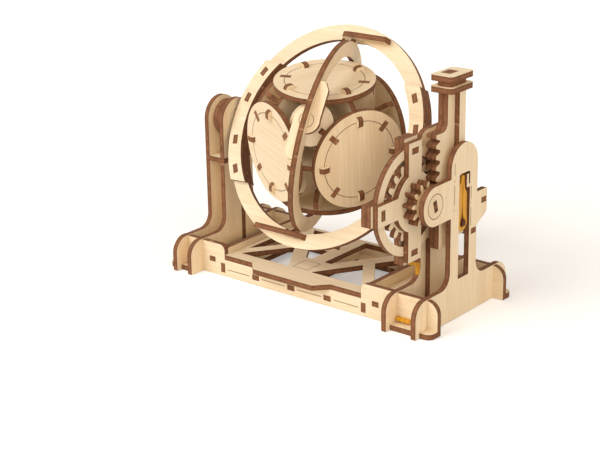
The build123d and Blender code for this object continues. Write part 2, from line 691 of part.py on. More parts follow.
def key_peg():
    reach = BRACKET_OUT - KEY_LAYER[0]
    y, half = key_peg_y(), PEG_SIZE / 2
    return sheet(side_plane(KEY_LAYER[0]), slab(y - half, PEG_Z - half, y + half, PEG_Z + half), reach)


def cap_plate(level, inset):
    x = (KEY_LAYER[0] + BRACKET_X) / 2 - SLIDE_GAP / 2
    half_x = CAP_HALF_X - inset
    front, back = CAP_FRONT + inset, CAP_BACK - inset
    face = outline((x - half_x, front, CAP_CHAMFER), (x + half_x, front, CAP_CHAMFER),
                   (x + half_x, back, CAP_CHAMFER), (x - half_x, back, CAP_CHAMFER))
    face -= slab(KEY_LAYER[0] - FIT, TENON_FRONT - FIT, KEY_LAYER[2] + FIT, TENON_BACK + FIT)
    return sheet(floor_plane(KEY_TOP + level * SHEET), face)


# ---- Gear train --------------------------------------------------------------
def drive_gear(layer):
    gap_above_axis = RACK_TOP_GAP - GEAR_Z - RACK_PITCH * round((RACK_TOP_GAP - GEAR_Z) / RACK_PITCH)
    phase = degrees(gap_above_axis / DRIVE_PITCH_R)
    face = gear_face(DRIVE_MODULE, DRIVE_TEETH, DRIVE_ADDENDUM, DRIVE_DEDENDUM, phase)
    face -= Circle(CLUTCH_R + RUN)
    return sheet(side_plane(KEY_LAYER[layer]), at_gear(face))


def big_gear():
    face = gear_face(WHEEL_MODULE, WHEEL_TEETH, WHEEL_ADDENDUM, WHEEL_DEDENDUM, MESH_ANGLE)
    face -= shaft_section(FIT)
    return sheet(side_plane(LAYER[1] + LAYER_GAP), at_gear(face), SHEET - 2 * LAYER_GAP)


def gear_shaft():
    return sheet(side_plane(LAYER[0]), at_gear(shaft_section()), BRACKET_OUT - LAYER[0])


def shaft_discs():
    """Bearing discs in the housing walls and the bracket, and the clutch hub."""
    ring = Circle(SHAFT_DISC_R) - shaft_section(FIT)
    discs = [sheet(side_plane(x), at_gear(ring)) for x in (LAYER[0], LAYER[2], BRACKET_X)]
    hub = Circle(CLUTCH_R) - shaft_section(FIT)
    discs.append(sheet(side_plane(KEY_LAYER[0]), at_gear(hub), 2 * SHEET))
    return discs


def ring_pinion():
    """Pinion on the ring's right tongue, with a gap facing the big gear's tooth."""
    phase = MESH_ANGLE + 180 + 180 / PINION_TEETH
    face = gear_face(WHEEL_MODULE, PINION_TEETH, PINION_ADDENDUM, WHEEL_DEDENDUM, phase)
    face -= tongue_slot(PIVOT_HALF)
    return sheet(side_plane(LAYER[1] + LAYER_GAP), Pos(0, RING_Z) * face, SHEET - 2 * LAYER_GAP)


# ---- Outer ring --------------------------------------------------------------
def tongue_slot(half_height):
    """Slot for the ring's tongue, drawn about the ring axis in (y, z)."""
    return turned(Rectangle(SHEET + 2 * FIT, 2 * half_height + 2 * FIT), -RING_TILT)


def ring_core():
    face = Circle(RING_OUT) - Circle(RING_IN)
    face += slab(RING_OUT - JOIN, -TONGUE_HALF, LAYER[1], TONGUE_HALF)
    face += slab(LAYER[1] - JOIN, -PIVOT_HALF, LAYER[3], PIVOT_HALF)
    face += slab(-RING_OUT + JOIN, -TONGUE_HALF, -LEFT_INNER_X - SHEET, TONGUE_HALF)
    face += slab(-LEFT_INNER_X - SHEET + JOIN, -PIVOT_HALF, -LEFT_OUTER_X - SHEET, PIVOT_HALF)
    seat = LUG_INSIDE + SHEET + SEAT_PLAY
    for s in (-1, 1):
        face -= slab(-LUG_R - SEAT_PLAY, s * (LUG_INSIDE - SHEET), LUG_R + SEAT_PLAY, s * seat)
    for x_side in (0, 180):
        for cut in cheek_pegs(x_side, FIT):
            face -= cut
    return sheet(ring_plane(-SHEET / 2), face)


def cheek_pegs(x_side, play=0.0):
    pegs = []
    for angle in CHEEK_PEG_ANGLES:
        for s in (-1, 1):
            pegs.append(turned(slot(CHEEK_PEG_R, 0, SHEET, CHEEK_PEG_LONG, play), x_side + s * angle))
    return pegs


def cheek(x_side, front):
    outer = polar(RING_OUT, CHEEK_OUTER_ANGLE)
    inner = polar(RING_IN, CHEEK_INNER_ANGLE)
    spread = RING_OUT / RING_IN
    far = (outer[0] + (outer[0] - inner[0]) * spread, outer[1] + (outer[1] - inner[1]) * spread)
    near = (inner[0] - (outer[0] - inner[0]) * spread, inner[1] - (outer[1] - inner[1]) * spread)
    wedge = outline(far, near, (near[0], -near[1]), (far[0], -far[1]), (2 * RING_OUT, 0))
    face = turned((Circle(RING_OUT) - Circle(RING_IN)) & wedge, x_side)
    for cut in cheek_pegs(x_side, FIT):
        face -= cut
    return sheet(ring_plane(SHEET / 2 if front else -1.5 * SHEET), face)


def cheeks(x_side):
    return [cheek(x_side, True), cheek(x_side, False)]


def ring_pegs():
    pegs = cheek_pegs(0) + cheek_pegs(180)
    return [sheet(ring_plane(-1.5 * SHEET), peg, 3 * SHEET) for peg in pegs]


def hinge_lug(up):
    """Lug across the outer ring that carries one pivot of the inner ring."""
    tail = slab(0, SHEET / 2 + SEAT_PLAY / 2, LUG_TAIL, LUG_TAIL_TOP)
    face = Circle(LUG_R) + tail + turned(tail, 180)
    face -= Circle(BUSH_R + RUN)
    height = LUG_INSIDE if up else -LUG_INSIDE - SHEET
    plane = Plane(origin=CENTRE + RING_UP * height, x_dir=ALONG, z_dir=RING_UP)
    drawn = face if not up else mirror(face, about=Plane.XZ)
    return sheet(plane, drawn)


def journal_discs():
    """Discs that carry the ring's tongues in three of the uprights' holes."""
    discs = []
    for x, half in ((LAYER[0], TONGUE_HALF), (-LEFT_INNER_X - SHEET, TONGUE_HALF), (-LEFT_OUTER_X - SHEET, PIVOT_HALF)):
        face = Circle(JOURNAL_R) - tongue_slot(half)
        discs.append(sheet(side_plane(x), Pos(0, RING_Z) * face))
    return discs


def ring_retainers():
    """Two stop discs between the left uprights and one outside the pinion."""
    stop = Pos(0, RING_Z) * (Circle(STOP_R) - tongue_slot(PIVOT_HALF))
    first = -LEFT_INNER_X - 2 * SHEET - LAYER_GAP
    stops = [sheet(side_plane(first), stop), sheet(side_plane(first - SHEET), stop)]
    outside = Pos(0, RING_Z) * (Circle(RETAINER_R) - tongue_slot(PIVOT_HALF))
    return stops + [sheet(side_plane(LAYER[2]), outside)]


# ---- Inner ring --------------------------------------------------------------
def inner_ring():
    face = Circle(INNER_OUT) - Circle(INNER_IN)
    for s in (-1, 1):
        face += slab(s * (INNER_OUT - JOIN), -TONGUE_WIDTH / 2, s * (LUG_INSIDE + SHEET), TONGUE_WIDTH / 2)
        seat = BALL_LUG_INSIDE + SHEET + SEAT_PLAY
        face -= slab(-BALL_LUG_R - SEAT_PLAY, s * (BALL_LUG_INSIDE - SHEET), BALL_LUG_R + SEAT_PLAY, s * seat)
    return sheet(inner_plane(-SHEET / 2), face)


def ball_lug(front):
    """Lug across the inner ring that carries one end of the ball's axle."""
    side = SHEET / 2 + SEAT_PLAY / 2
    tail = outline((0, side), (BALL_LUG_TAIL, side), (BALL_LUG_TAIL, BALL_LUG_TIP),
                   (BALL_LUG_TAIL - BALL_LUG_SLANT, BALL_LUG_TOP), (0, BALL_LUG_TOP))
    face = Circle(BALL_LUG_R) + tail + turned(tail, 180)
    face -= Circle(BUSH_R + RUN)
    height = BALL_LUG_INSIDE if front else -BALL_LUG_INSIDE - SHEET
    plane = Plane(origin=CENTRE + BALL_AXIS * height, x_dir=RING_UP, z_dir=BALL_AXIS)
    return sheet(plane, mirror(face, about=Plane.XZ))


def pivot_bushes():
    """Discs on the inner ring's tongues that turn in the outer ring's lugs."""
    face = Circle(BUSH_R) - slot(0, 0, SHEET, TONGUE_WIDTH)
    bushes = []
    for height in (LUG_INSIDE, -LUG_INSIDE - SHEET):
        plane = Plane(origin=CENTRE + RING_UP * height, x_dir=INNER_NORMAL, z_dir=RING_UP)
        bushes.append(sheet(plane, face))
    return bushes


# ---- Ball --------------------------------------------------------------------
def ball_frame():
    """Three square directions whose body diagonal is the ball's axle."""
    directions = []
    for k in range(3):
        turn = radians(BALL_SPIN - 120 * k)
        flat = RING_UP * cos(turn) + INNER_NORMAL * sin(turn)
        directions.append(BALL_AXIS * (1 / sqrt(3)) + flat * sqrt(2 / 3))
    return directions


def ball_plane(axis, height, x_axis):
    return Plane(origin=CENTRE + axis * height, x_dir=x_axis, z_dir=axis)


def ball_disc(k, side):
    axes = BALL_AXES[k], BALL_AXES[(k + 1) % 3]
    face = Circle(BALL_DISC_R)
    for i in range(8):
        face -= turned(slot(BALL_TAB_R, 0, BALL_TAB_LONG, SHEET), 45 * i)
    height = BALL_FACE - SHEET if side > 0 else -BALL_FACE
    return sheet(ball_plane(axes[0], height, axes[1]), face)


def ball_ribs():
    """Ribs behind the discs, their tabs flush in the diagonal slots."""
    inside = BALL_FACE - SHEET
    face = outline((BALL_RIB_IN, inside), (BALL_RIB_OUT, inside), (BALL_RIB_OUT, BALL_RIB_EDGE),
                   (BALL_RIB_LOW, BALL_RIB_LOW), (BALL_RIB_IN, BALL_RIB_LOW))
    face += slab(BALL_TAB_R - BALL_TAB_LONG / 2, inside - JOIN, BALL_TAB_R + BALL_TAB_LONG / 2, BALL_FACE)
    ribs = []
    for k in range(3):
        across, third = BALL_AXES[(k + 1) % 3], BALL_AXES[(k + 2) % 3]
        for side in (-1, 1):
            for i in range(4):
                turn = radians(45 + 90 * i)
                radial = across * cos(turn) + third * sin(turn)
                tangent = radial.cross(BALL_AXES[k] * side)
                ribs.append(sheet(Plane(CENTRE - tangent * (SHEET / 2), x_dir=radial, z_dir=tangent), face))
    return ribs


def ball_core_face():
    """Eight-sided centre plate with two rounded tongues on each straight side."""
    inside = BALL_FACE - SHEET
    corner = BALL_PLATE_CORNER
    tip = BALL_FACE + STUD_OUT
    face = outline((inside, -corner), (inside, corner), (corner, inside), (-corner, inside),
                   (-inside, corner), (-inside, -corner), (-corner, -inside), (corner, -inside))
    for i in range(4):
        for s in (-1, 1):
            near, far = s * BALL_TAB_R - BALL_TAB_LONG / 2, s * BALL_TAB_R + BALL_TAB_LONG / 2
            tongue = outline((inside - JOIN, near), (tip, near, STUD_OUT), (tip, far, STUD_OUT), (inside - JOIN, far))
            face += turned(tongue, 90 * i)
    return face


def ball_core(k):
    """Centre plate k, halved where it crosses the other two."""
    face = ball_core_face()
    edge = BALL_FACE + JOIN
    lap = SHEET / 2 + FIT
    middle = (BALL_FACE - SHEET) / 2
    if k == 0:
        face -= slab(-lap, -edge, lap, 0)
    if k == 1:
        face -= slab(0, -lap, edge, lap)
        face -= slab(-lap, middle, lap, edge) + slab(-lap, -edge, lap, -middle)
    if k == 2:
        face -= slab(-lap, -edge, lap, edge)
        for s in (-1, 1):
            face -= slab(0, -lap, s * (middle + FIT), lap)
    plane = ball_plane(BALL_AXES[k], -SHEET / 2, BALL_AXES[(k + 1) % 3])
    return sheet(plane, face)


def ball_corner_plates():
    """Round plates behind the discs at the two corners that carry the axle, notched for the ribs."""
    radius = (BALL_FACE - SHEET) * sqrt(1.5) - (CORNER_PLATE_INSIDE + SHEET) / sqrt(2) - FIT
    plates = []
    for height, turn in ((CORNER_PLATE_INSIDE, 0), (-CORNER_PLATE_INSIDE - SHEET, 180)):
        face = Circle(radius) - slot(0, 0, TONGUE_WIDTH, SHEET)
        for k in range(3):
            notch = slab(CORNER_NOTCH, -SHEET / 2 - FIT, radius + JOIN, SHEET / 2 + FIT)
            face -= turned(notch, turn - BALL_SPIN + 120 * k)
        plates.append(sheet(axle_plane(height), face))
    return plates


def axle_plane(height):
    return Plane(origin=CENTRE + BALL_AXIS * height, x_dir=RING_UP, z_dir=BALL_AXIS)


def ball_pivots():
    """Flat pins out of the corner plates and their discs in the lugs."""
    pin = Rectangle(TONGUE_WIDTH, SHEET)
    tip = BALL_LUG_INSIDE + SHEET
    reach = tip - CORNER_PLATE_INSIDE
    bush = Circle(BUSH_R) - slot(0, 0, TONGUE_WIDTH, SHEET)
    return [sheet(axle_plane(CORNER_PLATE_INSIDE), pin, reach),
            sheet(axle_plane(-tip), pin, reach),
            sheet(axle_plane(BALL_LUG_INSIDE), bush),
            sheet(axle_plane(-BALL_LUG_INSIDE - SHEET), bush)]


# ---- Rubber bands ------------------------------------------------------------
def return_band():
    """Band from beside the bracket's hook down round the key's peg."""
    y = key_peg_y()
    narrow, wide = BAND_TOP_HALF, BAND_LOW_HALF
    under_hook = HOOK_FOOT - HOOK_WIDTH - WINDOW_ROUND / 2
    face = outline((y - narrow, HOOK_TOP, narrow / 2), (y + narrow, HOOK_TOP, narrow / 2),
                   (y + narrow, under_hook), (y + wide, under_hook - BAND_FLARE / 2, narrow),
                   (y + wide, PEG_Z), (y - wide, PEG_Z),
                   (y - wide, HOOK_FOOT, narrow), (y - narrow, HOOK_FOOT + BAND_FLARE))
    face += disc(y, PEG_Z, wide)
    face -= disc(y, PEG_Z, PEG_SIZE * 0.75)
    return sheet(side_plane(BRACKET_X + (SHEET - BAND_THICK) / 2), face, BAND_THICK)


def base_band():
    """The two ends of the lower band that can be seen: under the housing and on the shelf."""
    x = LAYER[1] + (SHEET - STRAP) / 2
    top = GEAR_Z - ARM_REACH
    half = STRAP_THICK / 2
    end_y, end_z = BAND_TURN
    upper = outline((GEAR_Y, top), (GEAR_Y, top - STRAP_THICK), (end_y - half, end_z - STRAP_THICK),
                    (end_y - half, end_z - BAND_END), (end_y + half, end_z - BAND_END), (end_y + half, end_z),
                    (GEAR_Y + BAND_TOP_HALF, top))
    out = -BASE_HALF_DEPTH - STRAP
    lower = slab(x, out, x + STRAP, -PLATE_IN) + slab(x, out, x + BAND_LOOP, -BASE_HALF_DEPTH)
    return [sheet(side_plane(x), upper, STRAP), sheet(floor_plane(SHEET + STRAP / 2), lower, STRAP)]


# ---- Assembly ----------------------------------------------------------------
BALL_AXES = ball_frame()

NODES = {
    "front_plate": front_plate(),
    "rear_plate": rear_plate(),
    "deck": deck(),
    "lower_frame": lower_frame(),
    "left_end_rib": end_rib(-1),
    "right_end_rib": end_rib(1),
    "left_tie": tie(-1),
    "right_tie": tie(1),
    "foot_shelves": foot_shelves(),
    "left_inner_upright": left_inner_upright(),
    "left_outer_upright": left_outer_upright(),
    "left_crossbar": left_crossbar(),
    "left_web": left_web(),
    "right_inner_upright": right_inner_upright(),
    "right_outer_upright": right_outer_upright(),
    "key_guide_bars": key_guide_bars(),
    "key_guide_doubler": key_guide_doubler(),
    "gearbox_rim": gearbox_rim(),
    "gearbox_cover": gearbox_cover(),
    "gearbox_pegs": gearbox_pegs(),
    "base_band": base_band(),
    "return_band": return_band(),
    "key_rack_inner": key_rack_inner(),
    "key_rack_outer": key_rack_outer(),
    "key_rib": key_rib(),
    "key_peg": key_peg(),
    "key_cap_bottom": cap_plate(0, 0),
    "key_cap_middle": cap_plate(1, CAP_STEP),
    "key_cap_top": cap_plate(2, 0),
    "drive_gear_inner": drive_gear(0),
    "drive_gear_outer": drive_gear(1),
    "big_gear": big_gear(),
    "gear_shaft": gear_shaft(),
    "shaft_discs": shaft_discs(),
    "ring_core": ring_core(),
    "ring_cheeks_left": cheeks(180),
    "ring_cheeks_right": cheeks(0),
    "ring_pegs": ring_pegs(),
    "ring_lug_top": hinge_lug(True),
    "ring_lug_bottom": hinge_lug(False),
    "journal_discs": journal_discs(),
    "ring_retainers": ring_retainers(),
    "ring_pinion": ring_pinion(),
    "inner_ring": inner_ring(),
    "ball_lug_front": ball_lug(True),
    "ball_lug_rear": ball_lug(False),
    "pivot_bushes": pivot_bushes(),
    "ball_corner_plates": ball_corner_plates(),
    "ball_pivots": ball_pivots(),
    "ball_ribs": ball_ribs(),
}
for k in range(3):
    NODES["ball_core_" + "abc"[k]] = ball_core(k)
    NODES["ball_disc_" + "abc"[k] + "_out"] = ball_disc(k, 1)
    NODES["ball_disc_" + "abc"[k] + "_back"] = ball_disc(k, -1)

os.makedirs("parts", exist_ok=True)
for name, made in NODES.items():
    shape = Compound(children=list(made)) if isinstance(made, list) else made
    export_step(shape, "parts/" + name + ".step")
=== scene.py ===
"""Looks of the laser-cut plywood gimbal toy.

Birch faces, burnt cut edges, engraved lines and rubber bands.  Lengths are in
millimetres until they reach an object, where MM turns them into metres.
"""
import json
import math

import bpy
from mathutils import Matrix, Vector

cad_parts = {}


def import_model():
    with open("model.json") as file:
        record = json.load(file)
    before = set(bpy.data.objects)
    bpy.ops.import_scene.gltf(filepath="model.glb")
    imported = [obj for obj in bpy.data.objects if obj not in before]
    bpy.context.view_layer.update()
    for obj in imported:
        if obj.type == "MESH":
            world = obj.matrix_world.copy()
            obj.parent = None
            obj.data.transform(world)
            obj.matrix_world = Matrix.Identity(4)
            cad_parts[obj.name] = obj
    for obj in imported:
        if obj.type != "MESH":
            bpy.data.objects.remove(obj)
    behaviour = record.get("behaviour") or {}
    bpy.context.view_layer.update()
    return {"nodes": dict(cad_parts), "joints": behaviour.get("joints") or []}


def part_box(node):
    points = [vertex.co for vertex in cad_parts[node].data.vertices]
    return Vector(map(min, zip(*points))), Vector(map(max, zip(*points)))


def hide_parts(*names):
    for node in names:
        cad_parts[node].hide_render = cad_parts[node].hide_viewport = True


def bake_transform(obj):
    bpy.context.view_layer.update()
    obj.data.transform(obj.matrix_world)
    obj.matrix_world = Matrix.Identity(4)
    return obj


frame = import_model()

MM = 0.001
SHEET = 3.0                 # plywood thickness
BALL_TURN = 110.1           # turn of the ball about its axle, in degrees
DISC_FACE = 34.6            # outer face of the ball's discs from its centre
TAB_CIRCLE_R = 22.0         # circle through the tabs of a disc
RIB_INSIDE = 21.0           # a rib lies farther out than this along its disc's axis
JOINTS = {j["name"]: j for j in frame["joints"]}
CENTRE = Vector(JOINTS["ring_spin"]["pos_m"]) / MM
GEAR = Vector(JOINTS["gear_shaft_turn"]["pos_m"]) / MM
RING_UP = Vector(JOINTS["inner_ring_spin"]["axis"]).normalized()
AXLE = Vector(JOINTS["ball_spin"]["axis"]).normalized()
X, Y, Z = Vector((1, 0, 0)), Vector((0, 1, 0)), Vector((0, 0, 1))
RING_FACE = RING_UP.cross(X)                    # normal of the outer ring
INNER_FACE = RING_UP.cross(AXLE).normalized()   # normal of the inner ring
BALL = []                                       # axes of the ball's three pairs of discs
for k in range(3):
    turn = math.radians(BALL_TURN) - math.radians(120) * k
    flat = RING_UP * math.cos(turn) + INNER_FACE * math.sin(turn)
    BALL.append(AXLE / math.sqrt(3) + flat * math.sqrt(2 / 3))


def srgb(r, g, b):
    """Linear colour, with alpha, of an 8-bit screen colour."""
    return tuple(((v / 255 + 0.055) / 1.055) ** 2.4 if v > 10 else v / 3295 for v in (r, g, b)) + (1.0,)


# ---- Node helpers ------------------------------------------------------------
def feed(tree, socket, value):
    if isinstance(value, bpy.types.NodeSocket):
        tree.links.new(value, socket)
    else:
        socket.default_value = value


def node(tree, kind, **inputs):
    made = tree.nodes.new(kind)
    for name, value in inputs.items():
        feed(tree, made.inputs[name.replace("_", " ")], value)
    return made


def math_node(tree, operation, *values, clamp=False):
    made = tree.nodes.new("ShaderNodeMath")
    made.operation, made.use_clamp = operation, clamp
    for i, value in enumerate(values):
        feed(tree, made.inputs[i], value)
    return made.outputs[0]


def vector_node(tree, operation, *values, scale=None):
    made = tree.nodes.new("ShaderNodeVectorMath")
    made.operation = operation
    for i, value in enumerate(values):
        feed(tree, made.inputs[i], value)
    if scale is not None:
        feed(tree, made.inputs["Scale"], scale)
    return made.outputs["Value" if operation in ("DOT_PRODUCT", "LENGTH", "DISTANCE") else "Vector"]


def ramp(tree, value, *stops):
    made = tree.nodes.new("ShaderNodeValToRGB")
    while len(made.color_ramp.elements) < len(stops):
        made.color_ramp.elements.new(0.5)
    for element, (place, colour) in zip(made.color_ramp.elements, stops):
        element.position, element.color = place, colour
    feed(tree, made.inputs[0], value)
    return made.outputs[0]


def smooth(tree, value, low, high):
    """0 below low, 1 above high."""
    made = tree.nodes.new("ShaderNodeMapRange")
    made.interpolation_type = "SMOOTHSTEP"
    feed(tree, made.inputs["Value"], value)
    made.inputs["From Min"].default_value, made.inputs["From Max"].default_value = low, high
    return made.outputs[0]


def noise(tree, vector, scale=1.0, detail=2.0, roughness=0.5):
    made = node(tree, "ShaderNodeTexNoise", Vector=vector, Scale=scale, Detail=detail, Roughness=roughness)
    return made.outputs["Fac"]


def mix(tree, share, a, b):
    made = tree.nodes.new("ShaderNodeMix")
    made.data_type = "RGBA"
    feed(tree, made.inputs[0], share)
    feed(tree, made.inputs[6], a)
    feed(tree, made.inputs[7], b)
    return made.outputs[2]


def place_mm(tree):
    """Point of the piece in millimetres, in the piece's own rest frame."""
    point = tree.nodes.new("ShaderNodeTexCoord").outputs["Object"]
    return vector_node(tree, "SCALE", point, scale=1 / MM)


def scaled(tree, value, factor):
    return math_node(tree, "MULTIPLY", value, factor)


def inverted(tree, value):
    return math_node(tree, "SUBTRACT", 1.0, value)


# ---- Plywood -----------------------------------------------------------------
FACE_PALE, FACE_STREAK = srgb(246, 227, 196), srgb(236, 212, 175)
FACE_TONE, FACE_FLECK = srgb(220, 186, 140), srgb(187, 146, 102)
EDGE_SCORCH, EDGE_NICK = srgb(84, 49, 30), srgb(196, 158, 118)
ENGRAVED = srgb(112, 74, 46)
RIM, GLUE = srgb(86, 50, 30), srgb(102, 61, 37)
PLIES = ((0.00, RIM), (0.08, srgb(124, 79, 50)), (0.29, srgb(140, 93, 60)),
         (0.35, GLUE), (0.41, srgb(148, 100, 66)), (0.60, srgb(144, 96, 63)),
         (0.66, GLUE), (0.72, srgb(138, 91, 59)), (0.92, srgb(120, 76, 48)), (1.00, RIM))
GIVEN = (("Grid", "Vector"), ("Depth", "Float"), ("Edge", "Float"), ("Engraved", "Float"))
MADE = (("Color", "Color"), ("Roughness", "Float"), ("Height", "Float"))
SHIFT = (900.0, 370.0)      # range of each piece's own shift of the grain
TONE_SHARE, FLECK_SHARE, SCORCH_SHARE, NICK_SHARE = 0.28, 0.16, 0.55, 0.45
EDGE_RIM_WIDTH = 0.22       # scorched border on a face
PEG_RIM_WIDTH = 0.35


def plywood_group():
    """Birch face, cut edge and engraving.

    Grid is the point in mm along the grain, across it and through the sheet.
    Depth is 0 to 1 through the sheet, Edge and Engraved are shares.
    """
    group = bpy.data.node_groups.new("plywood", "ShaderNodeTree")
    for direction, sockets in (("INPUT", GIVEN), ("OUTPUT", MADE)):
        for name, kind in sockets:
            group.interface.new_socket(name, in_out=direction, socket_type="NodeSocket" + kind)
    given = group.nodes.new("NodeGroupInput").outputs
    own = group.nodes.new("ShaderNodeObjectInfo").outputs["Random"]
    shift = node(group, "ShaderNodeCombineXYZ", X=scaled(group, own, SHIFT[0]),
                 Y=scaled(group, own, SHIFT[1])).outputs[0]
    grid = vector_node(group, "ADD", given["Grid"], shift)

    def stretched(u, v, w, **kind):
        return noise(group, vector_node(group, "MULTIPLY", grid, (u, v, w)), **kind)

    streaks = stretched(0.035, 0.9, 0.9, detail=6, roughness=0.62)
    tone = smooth(group, stretched(0.012, 0.07, 0.07, detail=2), 0.45, 0.7)
    flecks = smooth(group, stretched(0.28, 2.8, 2.8, detail=1), 0.62, 0.72)
    face = mix(group, smooth(group, streaks, 0.30, 0.72), FACE_PALE, FACE_STREAK)
    face = mix(group, scaled(group, tone, TONE_SHARE), face, FACE_TONE)
    face = mix(group, scaled(group, flecks, FLECK_SHARE), face, FACE_FLECK)
    face = vector_node(group, "SCALE", face, scale=math_node(group, "MULTIPLY_ADD", own, 0.08, 0.94))

    wobble = math_node(group, "MULTIPLY_ADD", stretched(0.15, 0.15, 0.15, detail=2), 0.10, -0.05)
    edge = ramp(group, math_node(group, "ADD", given["Depth"], wobble), *PLIES)
    scorch = smooth(group, noise(group, grid, scale=0.35, detail=2, roughness=0.5), 0.35, 0.75)
    edge = mix(group, scaled(group, scorch, SCORCH_SHARE), edge, EDGE_SCORCH)
    nicks = smooth(group, stretched(1.0, 1.0, 0.25, scale=0.3, detail=0), 0.80, 0.82)
    edge = mix(group, scaled(group, nicks, NICK_SHARE), edge, EDGE_NICK)

    colour = mix(group, given["Edge"], face, edge)
    colour = mix(group, given["Engraved"], colour, ENGRAVED)
    roughness = math_node(group, "MULTIPLY_ADD", streaks, 0.18, 0.50)
    roughness = math_node(group, "MULTIPLY_ADD", given["Edge"], 0.18, roughness)
    height = math_node(group, "MULTIPLY_ADD", given["Engraved"], -1.2, scaled(group, streaks, 0.35))
    out = group.nodes.new("NodeGroupOutput")
    for (name, _), value in zip(MADE, (colour, roughness, height)):
        group.links.new(value, out.inputs[name])
    return group


PLYWOOD = plywood_group()


def finish_wood(material, grid, depth, edge, engraved):
    tree = material.node_tree
    group = tree.nodes.new("ShaderNodeGroup")
    group.node_tree = PLYWOOD
    for name, value in (("Grid", grid), ("Depth", depth), ("Edge", edge), ("Engraved", engraved)):
        feed(tree, group.inputs[name], value)
    shader = tree.nodes["Principled BSDF"]
    shader.inputs["Specular IOR Level"].default_value = 0.3
    tree.links.new(group.outputs["Color"], shader.inputs["Base Color"])
    tree.links.new(group.outputs["Roughness"], shader.inputs["Roughness"])
    bump = node(tree, "ShaderNodeBump", Strength=0.6, Distance=0.00012, Height=group.outputs["Height"])
    tree.links.new(bump.outputs[0], shader.inputs["Normal"])
    return material


def new_material(name):
    material = bpy.data.materials.new(name)
    material.use_nodes = True
    return material


def burnt_rim(tree, width):
    """Share of scorched wood on a face close to its cut edges."""
    bevel = tree.nodes.new("ShaderNodeBevel")
    bevel.samples = 4
    bevel.inputs["Radius"].default_value = width * MM
    true_normal = tree.nodes.new("ShaderNodeNewGeometry").outputs["Normal"]
    facing = vector_node(tree, "DOT_PRODUCT", bevel.outputs[0], true_normal)
    return inverted(tree, smooth(tree, facing, 0.86, 0.995))


def edge_share(tree, normal):
    """1 on a cut edge of a sheet with this normal, less on the scorched border of its faces."""
    surface = tree.nodes.new("ShaderNodeTexCoord").outputs["Normal"]
    facing = math_node(tree, "ABSOLUTE", vector_node(tree, "DOT_PRODUCT", surface, normal))
    cut = inverted(tree, smooth(tree, facing, 0.6, 0.8))
    return math_node(tree, "MAXIMUM", cut, scaled(tree, burnt_rim(tree, EDGE_RIM_WIDTH), 0.75))


# ---- Engraved lines ----------------------------------------------------------
LINE = 0.16                 # half width of an engraved line, and of its fading border
LINE_SHARE = 0.85


def about_axis(tree, point, centre, axis):
    """Height of the point along an axis, and its distance from the axis."""
    away = vector_node(tree, "SUBTRACT", point, centre)
    height = vector_node(tree, "DOT_PRODUCT", away, axis)
    flat = vector_node(tree, "SUBTRACT", away, vector_node(tree, "SCALE", axis, scale=height))
    return height, vector_node(tree, "LENGTH", flat)


def circle_line(tree, point, centre, axis, radius):
    """Distance from a circle."""
    height, far = about_axis(tree, point, centre, axis)
    off = math_node(tree, "SUBTRACT", far, radius)
    squares = math_node(tree, "ADD", scaled(tree, off, off), scaled(tree, height, height))
    return math_node(tree, "SQRT", squares)


def straight_line(tree, point, start, end):
    """Distance from a line with two ends."""
    start, end = Vector(start), Vector(end)
    ahead = (end - start).normalized()
    away = vector_node(tree, "SUBTRACT", point, start)
    along = vector_node(tree, "DOT_PRODUCT", away, ahead)
    along = math_node(tree, "MINIMUM", math_node(tree, "MAXIMUM", along, 0.0), (end - start).length)
    return vector_node(tree, "DISTANCE", away, vector_node(tree, "SCALE", ahead, scale=along))


def engraving(tree, point, lines):
    """Share of engraved wood, from (centre, axis, radius) circles and (start, end) lines."""
    nearest = None
    for line in lines:
        distance = circle_line if len(line) == 3 else straight_line
        far = distance(tree, point, *line)
        nearest = far if nearest is None else math_node(tree, "MINIMUM", nearest, far)
    if nearest is None:
        return 0.0
    return scaled(tree, inverted(tree, smooth(tree, nearest, LINE, 2 * LINE)), LINE_SHARE)


# ---- One material per node ---------------------------------------------------
def sheet_material(name, normal, grain, low, lines=()):
    """Plywood sheet whose lower face lies at height low along its normal."""
    material = new_material(name)
    tree = material.node_tree
    point = place_mm(tree)
    through = vector_node(tree, "DOT_PRODUCT", point, normal)
    along = vector_node(tree, "DOT_PRODUCT", point, grain)
    across = vector_node(tree, "DOT_PRODUCT", point, normal.cross(grain))
    grid = node(tree, "ShaderNodeCombineXYZ", X=along, Y=across, Z=through).outputs[0]
    layers = math_node(tree, "MULTIPLY_ADD", through, 1 / SHEET, -low / SHEET + 0.0005)
    depth = math_node(tree, "FRACT", layers)
    return finish_wood(material, grid, depth, edge_share(tree, normal), engraving(tree, point, lines))


def end_material(name, centre, axis, inner):
    """Ends of pegs: all cut edge, the plies round an axis from the radius inner outwards."""
    material = new_material(name)
    tree = material.node_tree
    point = place_mm(tree)
    _, far = about_axis(tree, point, centre, axis)
    depth = math_node(tree, "MULTIPLY_ADD", far, 1 / SHEET, -inner / SHEET)
    rim = scaled(tree, burnt_rim(tree, PEG_RIM_WIDTH), 0.5)
    return finish_wood(material, point, depth, 1.0, rim)


def rib_material(name):
    """Ribs behind the ball's discs, each a sheet standing square to its disc."""
    material = new_material(name)
    tree = material.node_tree
    point = place_mm(tree)
    away = vector_node(tree, "SUBTRACT", point, CENTRE)
    normal = None
    for axis in BALL:
        height = math_node(tree, "ABSOLUTE", vector_node(tree, "DOT_PRODUCT", away, axis))
        near = math_node(tree, "GREATER_THAN", height, RIB_INSIDE)
        tangent = vector_node(tree, "NORMALIZE", vector_node(tree, "CROSS_PRODUCT", axis, away))
        tangent = vector_node(tree, "SCALE", tangent, scale=near)
        normal = tangent if normal is None else vector_node(tree, "ADD", normal, tangent)
    return finish_wood(material, point, 0.5, edge_share(tree, normal), 0.0)


